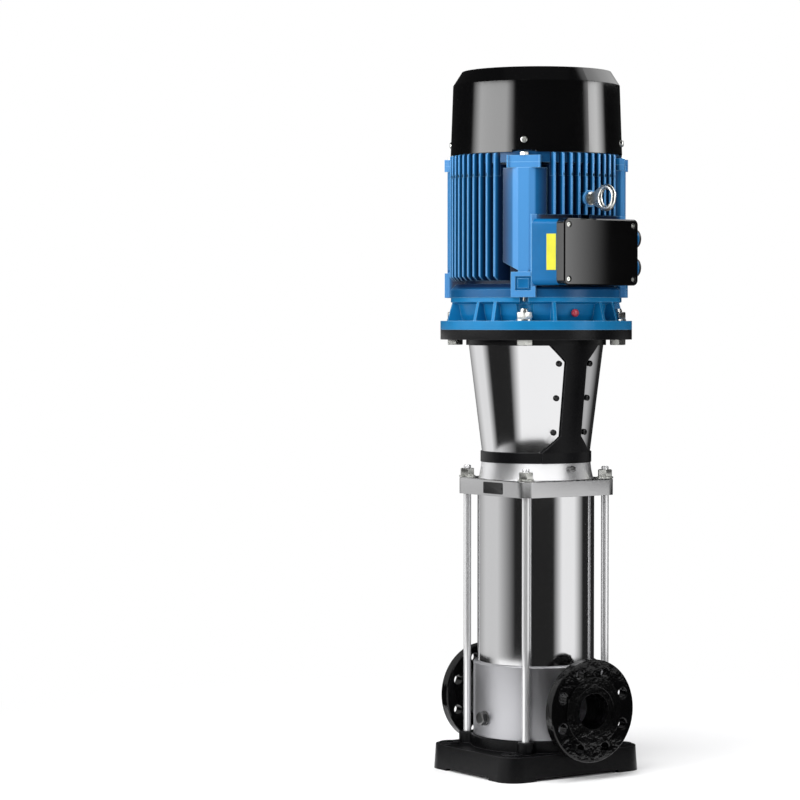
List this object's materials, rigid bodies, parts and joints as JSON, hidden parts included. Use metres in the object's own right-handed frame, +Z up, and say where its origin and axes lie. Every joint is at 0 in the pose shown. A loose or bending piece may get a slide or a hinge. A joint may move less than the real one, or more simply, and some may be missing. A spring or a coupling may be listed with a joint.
{
  "type": "vertical multistage pump",
  "caption": "Upright in-line centrifugal pump: base and ported housing, sleeve between stay bolts, head, motor lantern with sheet guards, and a finned motor with fan cover and terminal box.",
  "frame": {"origin": "centre of the base plate's underside, on the shaft axis", "axes": "+Z up the shaft to the motor, +X along the flow towards the discharge port and the terminal box, +Y to the blank side of the pump"},
  "size_m": [0.406, 0.35, 1.275],
  "materials": {
    "blue_paint": "semi-gloss",
    "black_enamel": "gloss",
    "black_casting": "satin, fine cast texture",
    "machined_stainless": "satin, turned",
    "blasted_stainless": "matt, bead blasted",
    "polished_stainless": "mirror polished",
    "zinc_steel": "zinc plated",
    "black_screw": "black oxide",
    "plain_steel": "ground",
    "core_steel": "stacked sheet",
    "copper_winding": "varnished wire",
    "rubber": "matt",
    "black_plastic": "moulded",
    "yellow_label": "printed foil, bare",
    "red_plug": "moulded",
    "brass_stud": "turned",
    "carbide": "lapped"
  },
  "bodies": {
    "pump": {"base_plate": "black_casting", "pump_housing": "blasted_stainless", "flange_retainers": "polished_stainless", "drain_plug": "machined_stainless", "outer_sleeve": "polished_stainless", "sleeve_seals": "rubber", "pump_head": "machined_stainless", "vent_plug": "machined_stainless", "rating_plate": "black_screw", "stay_bolts": "polished_stainless", "stay_nuts": "zinc_steel", "stay_washers": "zinc_steel", "motor_lantern": "black_casting", "coupling_guard_front": "polished_stainless", "coupling_guard_rear": "polished_stainless", "guard_screws": "black_screw", "lantern_screws": "zinc_steel", "motor_bolts": "zinc_steel", "motor_nuts": "zinc_steel", "motor_washers": "zinc_steel", "bell_end_shield": "blue_paint", "bell_drain_plug": "red_plug", "bell_bolts": "zinc_steel", "motor_frame": "blue_paint", "upper_end_shield": "blue_paint", "shield_bolts": "zinc_steel", "fan_cover": "black_enamel", "fan_cover_screws": "zinc_steel", "stator_core": "core_steel", "stator_windings": "copper_winding", "bearing_outer_rings": "plain_steel", "terminal_box": "blue_paint", "terminal_box_gasket": "rubber", "terminal_box_lid": "black_enamel", "lid_screws": "zinc_steel", "cable_entry_plugs": "black_plastic", "terminal_board": "black_plastic", "terminal_studs": "brass_stud", "entry_label": "yellow_label", "lifting_eye": "zinc_steel", "stage_chambers": "machined_stainless", "wear_rings": "carbide", "stack_cap": "machined_stainless", "stack_straps": "machined_stainless", "bottom_bearing": "carbide", "seal_seat": "carbide", "seal_gland": "machined_stainless", "gland_screws": "zinc_steel"},
    "rotor": {"motor_shaft": "plain_steel", "rotor_core": "core_steel", "cooling_fan": "black_plastic", "bearing_inner_rings": "plain_steel", "coupling_halves": "plain_steel", "coupling_screws": "zinc_steel", "pump_shaft": "plain_steel", "impellers": "machined_stainless", "impeller_spacers": "machined_stainless", "seal_rotor": "machined_stainless"},
    "discharge_ring": {"discharge_flange": "black_casting"},
    "suction_ring": {"suction_flange": "black_casting"}
  },
  "joints": [
    {"name": "rotor_spin", "type": "hinge", "parent": "pump", "child": "rotor", "pos_m": [0, 0, 0.6], "axis": [0, 0, 1], "continuous": true},
    {"name": "discharge_flange_swivel", "type": "hinge", "parent": "pump", "child": "discharge_ring", "pos_m": [0.161, 0, 0.124], "axis": [1, 0, 0], "continuous": true},
    {"name": "suction_flange_swivel", "type": "hinge", "parent": "pump", "child": "suction_ring", "pos_m": [-0.161, 0, 0.124], "axis": [1, 0, 0], "continuous": true}
  ]
}
